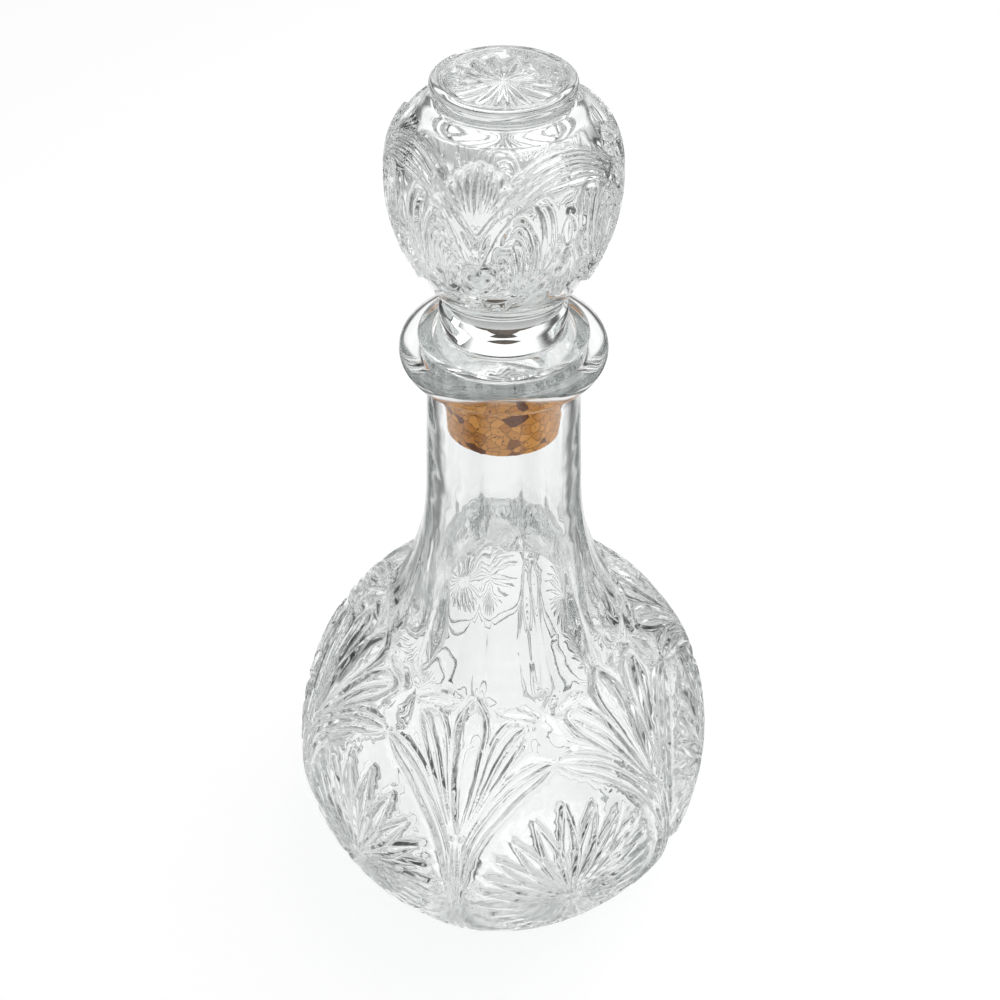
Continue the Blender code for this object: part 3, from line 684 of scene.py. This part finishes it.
def makeStopper():
    skin, line = knobSkin()
    steps = knobCuts["repeats"] * 2 * knobCuts["columns"]
    rim = k["coinRim"] / 2
    recess = coinTop - k["coinRecess"]
    coin = [(line.r[0], line.z[0]), (k["coinRadius"] - k["coinGroove"], coinBase + 0.0002),
            (k["coinRadius"] - k["coinGroove"], coinBase + k["coinGroove"] * 1.2),
            (k["coinRadius"] - k["coinGroove"] * 0.3, coinBase + k["coinGroove"] * 1.8),
            (k["coinRadius"], coinBase + k["coinHeight"] * 0.5)]
    coin += arcPoints((k["coinRadius"] - rim, coinTop - rim), (rim, rim), 0, 150, 12)
    inner = coin[-1][0] - 0.0005
    coin += [(inner, recess + 0.0001), (inner - 0.0004, recess)]
    coin += [(r, recess) for r in np.linspace(inner - 0.0008, 0.0008, 12)]
    top = latheRings("knobTop", coin, steps)
    flat, cuts = k["coinRadius"] - k["coinRim"] - 0.0004, knobCuts
    for vertex in top.data.vertices:     # wedge rays pressed into the round flat
        x, y, z = vertex.co
        r = math.hypot(x, y)
        if abs(z - recess) < 0.00002 and 0.0007 < r < flat:
            ray = abs(math.sin(math.atan2(x, -y) * cuts["coinRays"] / 2))
            depth = cuts["coinRayDepth"] * float(smooth((flat - r) / cuts["coinRayFade"]))
            vertex.co.z -= depth * ray * min(1, r / cuts["coinHeart"])
    foot = [(k["footRadius"] + k["footSwell"] * math.sin(math.pi * t) - 0.0006 * max(0, t - 0.75) / 0.25,
             footBase + k["footHeight"] * t) for t in np.linspace(0.95, 0, 14)]
    edge = k["flangeEdge"] / 2
    brow = math.degrees(math.atan2(k["flangeRadius"] - k["footRadius"], k["flangeHeight"] - k["flangeEdge"]))
    flange = arcPoints((k["flangeRadius"] - edge, k["seat"] + edge), (edge, edge), brow, -90, 12)
    slope = [(k["footRadius"] + (flange[0][0] - k["footRadius"]) * t,
              footBase + (flange[0][1] - footBase) * t) for t in np.linspace(0, 1, 7)[1:-1]]
    lower = [(line.r[-1], line.z[-1])] + foot + slope + flange
    lower += [(r, k["seat"]) for r in np.linspace(k["flangeRadius"] - edge, 0, 9)[1:-1]]
    bottom = latheRings("knobFoot", lower, steps)
    outside = weld("glass_knob", [skin, top, bottom])
    hollowTop = coinBase - knobCentre - k["wall"]
    lowest = k["wall"] - k["below"]
    widest = knobRadius(lowest, k["radius"] - k["wall"], hollowTop, k["lowerReach"] - k["wall"])
    well = [(widest * t, knobCentre + lowest - k["hollowDip"] * (1 - t * t))
            for t in np.linspace(0.02, 1, 12)[:-1]]
    for t in np.linspace(0, 1, 34)[:-1]:
        rise = lowest + (hollowTop - lowest) * math.sin(t * math.pi / 2)
        well.append((knobRadius(rise, k["radius"] - k["wall"], hollowTop, k["lowerReach"] - k["wall"]),
                     knobCentre + rise))
    end = latheRings("wellEnd", [well[0], (0.0002, well[0][1])], steps)
    hollow = weld("hollow", [latheRings("hollow", well, steps), end])
    bpy.ops.object.mode_set(mode="EDIT")
    bpy.ops.mesh.select_all(action="SELECT")
    bpy.ops.mesh.flip_normals()     # the hollow's walls face into its air
    bpy.ops.object.mode_set(mode="OBJECT")
    deselectAll()
    hollow.select_set(True)
    outside.select_set(True)
    bpy.context.view_layer.objects.active = outside
    bpy.ops.object.join()
    return outside


stopper = makeStopper()
print("stopper:", len(stopper.data.vertices), "points")


# The cork: a plug of pressed granules, glued under the stopper. Its top and a band down its side are
# painted pale, a painted reflection of the bright air gap under the flange. A dark disc that lies by itself
# inside the stopper's clear foot stands for the end of the plug's pin, whose stem isn't made here; its dark
# colour is painted shade, the plug's end as it looks in shadow down the stopper's hollow.
corkSizes = {
    "top": k["seat"] - 0.0003, "length": 0.0216, "radius": 0.0127, "taper": 0.0004, "edge": 0.0008,
    "pin": 0.0037, "pinAt": k["seat"] + 0.0024, "pinEdge": 0.0005, "steps": 168, "grainStep": 0.00045,
    # The band at the plug's top that is painted pale is a painted reflection of the bright air gap under the
    # flange.
    "pitDepth": 0.00035, "pitSize": 0.0011, "paintedReflectionBand": 0.0025, "discFrom": 0.001,
}


def makeCork():
    c = corkSizes
    bottom = c["top"] - c["length"]
    low = c["radius"] - c["taper"]
    rows = int(c["length"] / c["grainStep"])
    profile = [(r, c["top"]) for r in np.linspace(0.0004, c["radius"] - c["edge"], 26)]
    profile += arcPoints((c["radius"] - c["edge"], c["top"] - c["edge"]), (c["edge"], c["edge"]), 60, 0, 3)
    profile += [(c["radius"] - c["taper"] * t, c["top"] - c["edge"] - (c["length"] - 2 * c["edge"]) * t)
                for t in np.linspace(0, 1, rows)[1:]]
    profile += arcPoints((low - c["edge"], bottom + c["edge"]), (c["edge"], c["edge"]), -30, -90, 3)
    profile += [(r, bottom) for r in np.linspace(low - c["edge"], 0, 22)[1:-1]]
    plug = latheRings("corkSkin", profile, c["steps"])
    cap = latheRings("corkTop", [profile[0], (0.0002, c["top"])], c["steps"])
    cork = weld("granule_cork", [plug, cap])
    turns = np.radians(np.linspace(88, -88, 17))     # the disc's rounded rim
    rim = [(c["pin"] * math.cos(t), c["pinAt"] + c["pinEdge"] * math.sin(t)) for t in turns]
    pin = weld("pin", [latheRings("pin", rim, 48), latheRings("pinTop", [rim[0], (0.00005, rim[0][1])], 48)])
    pits = bpy.data.textures.new("pits", "VORONOI")
    pits.noise_scale = c["pitSize"]
    pits.distance_metric = "DISTANCE"
    pits.weight_1, pits.weight_2 = -1.0, 1.0
    lumps = bpy.data.textures.new("lumps", "CLOUDS")
    lumps.noise_scale = c["pitSize"] * 2.2
    for texture, depth in ((pits, c["pitDepth"]), (lumps, c["pitDepth"] * 0.5)):
        press = cork.modifiers.new(texture.name, "DISPLACE")
        press.texture, press.texture_coords = texture, "LOCAL"
        press.strength, press.mid_level = depth, 1.0
        deselectAll()
        cork.select_set(True)
        bpy.context.view_layer.objects.active = cork
        bpy.ops.object.modifier_apply(modifier=press.name)
    deselectAll()
    pin.select_set(True)
    cork.select_set(True)
    bpy.context.view_layer.objects.active = cork
    bpy.ops.object.join()
    return cork


cork = makeCork()
print("cork:", len(cork.data.vertices), "points")


class Wire:     # a socket that can be reckoned with
    def __init__(self, shader, socket):
        self.shader, self.socket = shader, socket

    def joined(self, operation, other, swap=False):
        pair = (other, self) if swap else (self, other)
        return self.shader.node("ShaderNodeMath", {"operation": operation}, {0: pair[0], 1: pair[1]})

    def __add__(self, other):
        return self.joined("ADD", other)

    def __radd__(self, other):
        return self.joined("ADD", other, True)

    def __sub__(self, other):
        return self.joined("SUBTRACT", other)

    def __rsub__(self, other):
        return self.joined("SUBTRACT", other, True)

    def __mul__(self, other):
        return self.joined("MULTIPLY", other)

    def __rmul__(self, other):
        return self.joined("MULTIPLY", other, True)

    def __gt__(self, other):
        return self.joined("GREATER_THAN", other)


class Shader:     # the nodes of one material or of the world
    def __init__(self, owner):
        owner.use_nodes = True
        self.tree = owner.node_tree
        self.tree.nodes.clear()

    def node(self, kind, settings=None, inputs=None, output=0):
        made = self.tree.nodes.new(kind)
        for name, value in (settings or {}).items():
            if name == "stops":
                ramp = made.color_ramp
                while len(ramp.elements) < len(value):
                    ramp.elements.new(0.5)
                for element, (place, colour) in zip(ramp.elements, value):
                    element.position, element.color = place, colour
            else:
                setattr(made, name, value)
        for name, value in (inputs or {}).items():
            if isinstance(value, Wire):
                self.tree.links.new(value.socket, made.inputs[name])
            else:
                made.inputs[name].default_value = value
        return Wire(self, made.outputs[output]) if made.outputs else None


glassLook = {
    "colour": (0.985, 0.99, 0.99, 1), "ior": 1.5, "roughness": 0.004, "waveSize": 0.011, "wave": 0.00024,
    "tint": (0.76, 0.79, 0.78, 1), "tintDensity": 14.0, "shade": (0.93, 0.94, 0.94, 1),
    "dimple": 0.0042, "dimpleDepth": 0.00021, "dimpleFade": 0.008,
}


def glass(name, dimpled):     # dimpled: the heights between which the glass is slightly uneven
    look = glassLook
    made = bpy.data.materials.new(name)
    nodes = Shader(made)
    place = nodes.node("ShaderNodeTexCoord", output=3)
    slow = nodes.node("ShaderNodeTexNoise", {}, {
        "Vector": place, "Scale": 1 / look["waveSize"], "Detail": 1.5})
    height = nodes.node("ShaderNodeSeparateXYZ", {}, {"Vector": place}, "Z")
    above = nodes.node("ShaderNodeMapRange", {"interpolation_type": "SMOOTHSTEP"}, {
        "Value": height, "From Min": dimpled[0], "From Max": dimpled[0] + look["dimpleFade"]})
    below = nodes.node("ShaderNodeMapRange", {"interpolation_type": "SMOOTHSTEP"}, {
        "Value": height, "From Min": dimpled[1], "From Max": dimpled[1] - look["dimpleFade"]})
    uneven = nodes.node("ShaderNodeTexNoise", {}, {
        "Vector": place, "Scale": 1 / look["dimple"], "Detail": 1.0})
    waves = slow * look["wave"] + uneven * above * below * look["dimpleDepth"]
    bump = nodes.node("ShaderNodeBump", {}, {"Strength": 1.0, "Distance": 1.0, "Height": waves})
    surface = nodes.node("ShaderNodeBsdfPrincipled", {}, {
        "Base Color": look["colour"], "Roughness": look["roughness"], "IOR": look["ior"],
        "Transmission Weight": 1.0, "Normal": bump})
    inside = nodes.node("ShaderNodeVolumeAbsorption", {}, {
        "Color": look["tint"], "Density": look["tintDensity"]})
    clear = nodes.node("ShaderNodeBsdfTransparent", {}, {"Color": look["shade"]})
    shadow = nodes.node("ShaderNodeLightPath", {}, {}, "Is Shadow Ray")
    soft = nodes.node("ShaderNodeLightPath", {}, {}, "Is Diffuse Ray")
    picked = nodes.node("ShaderNodeMixShader", {}, {0: shadow + soft, 1: surface, 2: clear})
    nodes.node("ShaderNodeOutputMaterial", {}, {"Surface": picked, "Volume": inside})
    return made


corkLook = {
    "granule": 0.0021, "light": (0.9, 0.4, 0.085, 1), "middle": (0.68, 0.26, 0.04, 1),
    "dark": (0.2, 0.06, 0.012, 1), "speck": (0.03, 0.01, 0.004, 1), "roughness": 0.7,
    # The pale colour for the plug's top is a painted reflection, and the disc's dark grey-brown is painted
    # shade.
    "paintedReflection": (0.9, 0.9, 0.89, 1), "pin": (0.14, 0.11, 0.085, 1), "warpScale": 500.0, "warp": 0.0009,
    "fineScale": 1500.0,
}


def corkMaterial():
    look = corkLook
    made = bpy.data.materials.new("pressed cork")
    nodes = Shader(made)
    place = nodes.node("ShaderNodeTexCoord", output=3)
    warp = nodes.node("ShaderNodeTexNoise", {}, {
        "Vector": place, "Scale": look["warpScale"], "Detail": 2.0}, 1)
    bent = nodes.node("ShaderNodeMix", {"data_type": "VECTOR"}, {
        "Factor": look["warp"], 4: place, 5: warp}, 1)
    cells = nodes.node("ShaderNodeTexVoronoi", {}, {"Vector": bent, "Scale": 1 / look["granule"]}, 1)
    shade = nodes.node("ShaderNodeSeparateColor", {}, {"Color": cells})
    ramp = nodes.node("ShaderNodeValToRGB", {"stops": [
        (0.08, look["dark"]), (0.16, look["middle"]), (0.8, look["light"])]}, {"Fac": shade})
    edges = nodes.node("ShaderNodeTexVoronoi", {"feature": "DISTANCE_TO_EDGE"}, {
        "Vector": bent, "Scale": 1 / look["granule"]})
    gaps = nodes.node("ShaderNodeMapRange", {}, {"Value": edges, "From Min": 0.0, "From Max": 0.06,
                                                "To Min": 0.6, "To Max": 0.0})
    fine = nodes.node("ShaderNodeTexNoise", {}, {"Vector": place, "Scale": look["fineScale"], "Detail": 3.0})
    specks = nodes.node("ShaderNodeMapRange", {}, {"Value": fine, "From Min": 0.6, "From Max": 0.72,
                                                  "To Min": 0.0, "To Max": 0.9})
    lined = nodes.node("ShaderNodeMix", {"data_type": "RGBA"}, {"Factor": gaps, 6: ramp, 7: look["dark"]}, 2)
    colour = nodes.node("ShaderNodeMix", {"data_type": "RGBA"}, {
        "Factor": specks, 6: lined, 7: look["speck"]}, 2)
    height = nodes.node("ShaderNodeSeparateXYZ", {}, {"Vector": place}, "Z")
    # The plug's top and the band below it are painted pale: a painted reflection standing for the bright
    # total reflection in the air gap under the flange.
    paintedReflectionMix = nodes.node("ShaderNodeMix", {"data_type": "RGBA"}, {
        "Factor": height > corkSizes["top"] - corkSizes["paintedReflectionBand"], 6: colour, 7: look["paintedReflection"]}, 2)
    # The disc inside the foot gets a dark grey-brown: painted shade, the plug's end as it looks in shadow
    # down the hollow.
    withPaintedShadeDisc = nodes.node("ShaderNodeMix", {"data_type": "RGBA"}, {
        "Factor": height > corkSizes["top"] + corkSizes["discFrom"], 6: paintedReflectionMix, 7: look["pin"]}, 2)
    bump = nodes.node("ShaderNodeBump", {}, {
        "Strength": 0.6, "Distance": 0.0003, "Height": fine + gaps * -1.0})
    surface = nodes.node("ShaderNodeBsdfPrincipled", {}, {
        "Base Color": withPaintedShadeDisc, "Roughness": look["roughness"], "Normal": bump})
    nodes.node("ShaderNodeOutputMaterial", {}, {"Surface": surface})
    return made


for piece, made, node, slot, body in (
        (bottle, glass("bottle glass", (-0.01, 0.094)), "bottle", "bottle_glass", "bottle"),
        (stopper, glass("stopper glass", (0.19, 0.22)), "glass_stopper", "stopper_glass", "stopper"),
        (cork, corkMaterial(), "cork_plug", "cork", "stopper")):
    piece.data.materials.clear()
    piece.data.materials.append(made)
    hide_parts(node)
    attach(piece, body)
print("materials on")


# Floor, light and camera
studio = {
    "floorSize": 4.0, "shadowShare": 0.42, "glowShare": 0.62,
    "roomTones": [(-1.0, 0.7), (-0.93, 1.0), (-0.75, 1.0), (-0.45, 1.02), (-0.34, 0.45), (-0.22, 0.6),
                  (-0.1, 1.25), (0.0, 0.9), (0.08, 0.15), (0.22, 0.2), (0.36, 1.1), (1.0, 1.4)],
    "flagTurn": 12.5, "flagEdge": (-0.97, -0.3), "flagDark": 0.08, "flagFrom": (-0.97, -0.9), "nearSide": 0.7,
    "nearFrom": -0.5, "nearTo": -0.1, "floorDrop": 0.0002, "floorTone": 0.85, "softLight": 0.62,
    "lampPlace": (0.35, 0.25, 1.0), "lampAim": 0.1, "lampSize": 0.8, "lampPower": 5.0,
}


def grey(tone):
    return (tone, tone, tone, 1)


def makeStudio():
    s = studio
    deselectAll()
    bpy.ops.mesh.primitive_plane_add(size=s["floorSize"], location=(0, 0, -s["floorDrop"]))
    floor = bpy.context.object
    floor.name = "floor"
    made = bpy.data.materials.new("white floor")
    nodes = Shader(made)
    seen = nodes.node("ShaderNodeLightPath", {}, {}, "Is Camera Ray")
    through = nodes.node("ShaderNodeLightPath", {}, {}, "Is Transmission Ray")
    shine = nodes.node("ShaderNodeLightPath", {}, {}, "Is Glossy Ray")
    glow = nodes.node("ShaderNodeEmission", {}, {"Color": grey(s["glowShare"])})
    lit = nodes.node("ShaderNodeBsdfDiffuse", {}, {"Color": grey(s["shadowShare"])})
    both = nodes.node("ShaderNodeAddShader", {}, {0: lit, 1: glow})
    bare = nodes.node("ShaderNodeBsdfTransparent")
    plain = nodes.node("ShaderNodeBsdfDiffuse", {}, {"Color": grey(s["floorTone"])})
    bent = nodes.node("ShaderNodeMixShader", {}, {0: (through + shine) > 0.5, 1: plain, 2: bare})
    picked = nodes.node("ShaderNodeMixShader", {}, {0: seen, 1: bent, 2: both})
    nodes.node("ShaderNodeOutputMaterial", {}, {"Surface": picked})
    floor.data.materials.append(made)

    world = bpy.data.worlds.new("studio")
    bpy.context.scene.world = world
    nodes = Shader(world)
    way = nodes.node("ShaderNodeTexCoord", {}, {}, "Generated")
    across = nodes.node("ShaderNodeSeparateXYZ", {}, {"Vector": way}, "X")
    back = nodes.node("ShaderNodeSeparateXYZ", {}, {"Vector": way}, "Y")
    height = nodes.node("ShaderNodeSeparateXYZ", {}, {"Vector": way}, "Z")
    stops = [(z / 2 + 0.5, grey(tone)) for z, tone in s["roomTones"]]
    tones = nodes.node("ShaderNodeValToRGB", {"stops": stops}, {"Fac": height * 0.5 + 0.5})
    turn = nodes.node("ShaderNodeMath", {"operation": "ARCTAN2"}, {0: across, 1: back})
    turn = (turn + math.radians(s["flagTurn"])) * 4
    wave = nodes.node("ShaderNodeMath", {"operation": "COSINE"}, {0: turn})
    flags = nodes.node("ShaderNodeMapRange", {}, {     # dark flags stand between the four sides
        "Value": wave, "From Min": s["flagEdge"][0], "From Max": s["flagEdge"][1], "To Min": s["flagDark"]})
    standing = nodes.node("ShaderNodeMapRange", {}, {
        "Value": height, "From Min": s["flagFrom"][0], "From Max": s["flagFrom"][1]})
    front = nodes.node("ShaderNodeMapRange", {}, {
        "Value": back, "From Min": s["nearFrom"], "From Max": s["nearTo"], "To Min": s["nearSide"]})
    shaded = nodes.node("ShaderNodeVectorMath", {"operation": "SCALE"}, {
        0: tones, "Scale": (flags * standing + (1 - standing)) * front})
    sky = nodes.node("ShaderNodeBackground", {}, {"Color": shaded})
    even = nodes.node("ShaderNodeBackground", {}, {"Color": grey(1), "Strength": s["softLight"]})
    white = nodes.node("ShaderNodeBackground", {}, {"Color": grey(1), "Strength": 1.0})
    soft = nodes.node("ShaderNodeLightPath", {}, {}, "Is Diffuse Ray")
    seen = nodes.node("ShaderNodeLightPath", {}, {}, "Is Camera Ray")
    lighting = nodes.node("ShaderNodeMixShader", {}, {0: soft, 1: sky, 2: even})
    picked = nodes.node("ShaderNodeMixShader", {}, {0: seen, 1: lighting, 2: white})
    nodes.node("ShaderNodeOutputWorld", {}, {"Surface": picked})

    lamp = bpy.data.lights.new("softbox", "AREA")
    lamp.shape, lamp.size = "SQUARE", s["lampSize"]
    lamp.energy = s["lampPower"]
    holder = bpy.data.objects.new("softbox", lamp)
    bpy.context.scene.collection.objects.link(holder)
    holder.location = s["lampPlace"]
    away = holder.location - Vector((0, 0, s["lampAim"]))
    holder.rotation_euler = away.to_track_quat("Z", "Y").to_euler()


cameraPlace = {"turn": 12.5, "rise": 44.55, "distance": 0.2626, "aim": 0.1305, "lens": 42.34,
               "shift": -0.0038}


def makeCamera():
    c = cameraPlace
    turn, rise = math.radians(c["turn"]), math.radians(c["rise"])
    back = Vector((math.sin(turn) * math.cos(rise), -math.cos(turn) * math.cos(rise), math.sin(rise)))
    camera = bpy.data.objects.new("camera", bpy.data.cameras.new("camera"))
    bpy.context.scene.collection.objects.link(camera)
    camera.location = Vector((0, 0, c["aim"])) + back * c["distance"]
    camera.rotation_euler = back.to_track_quat("Z", "Y").to_euler()
    camera.data.lens = c["lens"]
    camera.data.shift_x = c["shift"]
    bpy.context.scene.camera = camera


makeStudio()
makeCamera()
bpy.context.scene.view_settings.view_transform = "Standard"
cycles = bpy.context.scene.cycles     # light crosses many walls of glass
cycles.max_bounces, cycles.transmission_bounces, cycles.glossy_bounces = 32, 32, 24
print("ready")
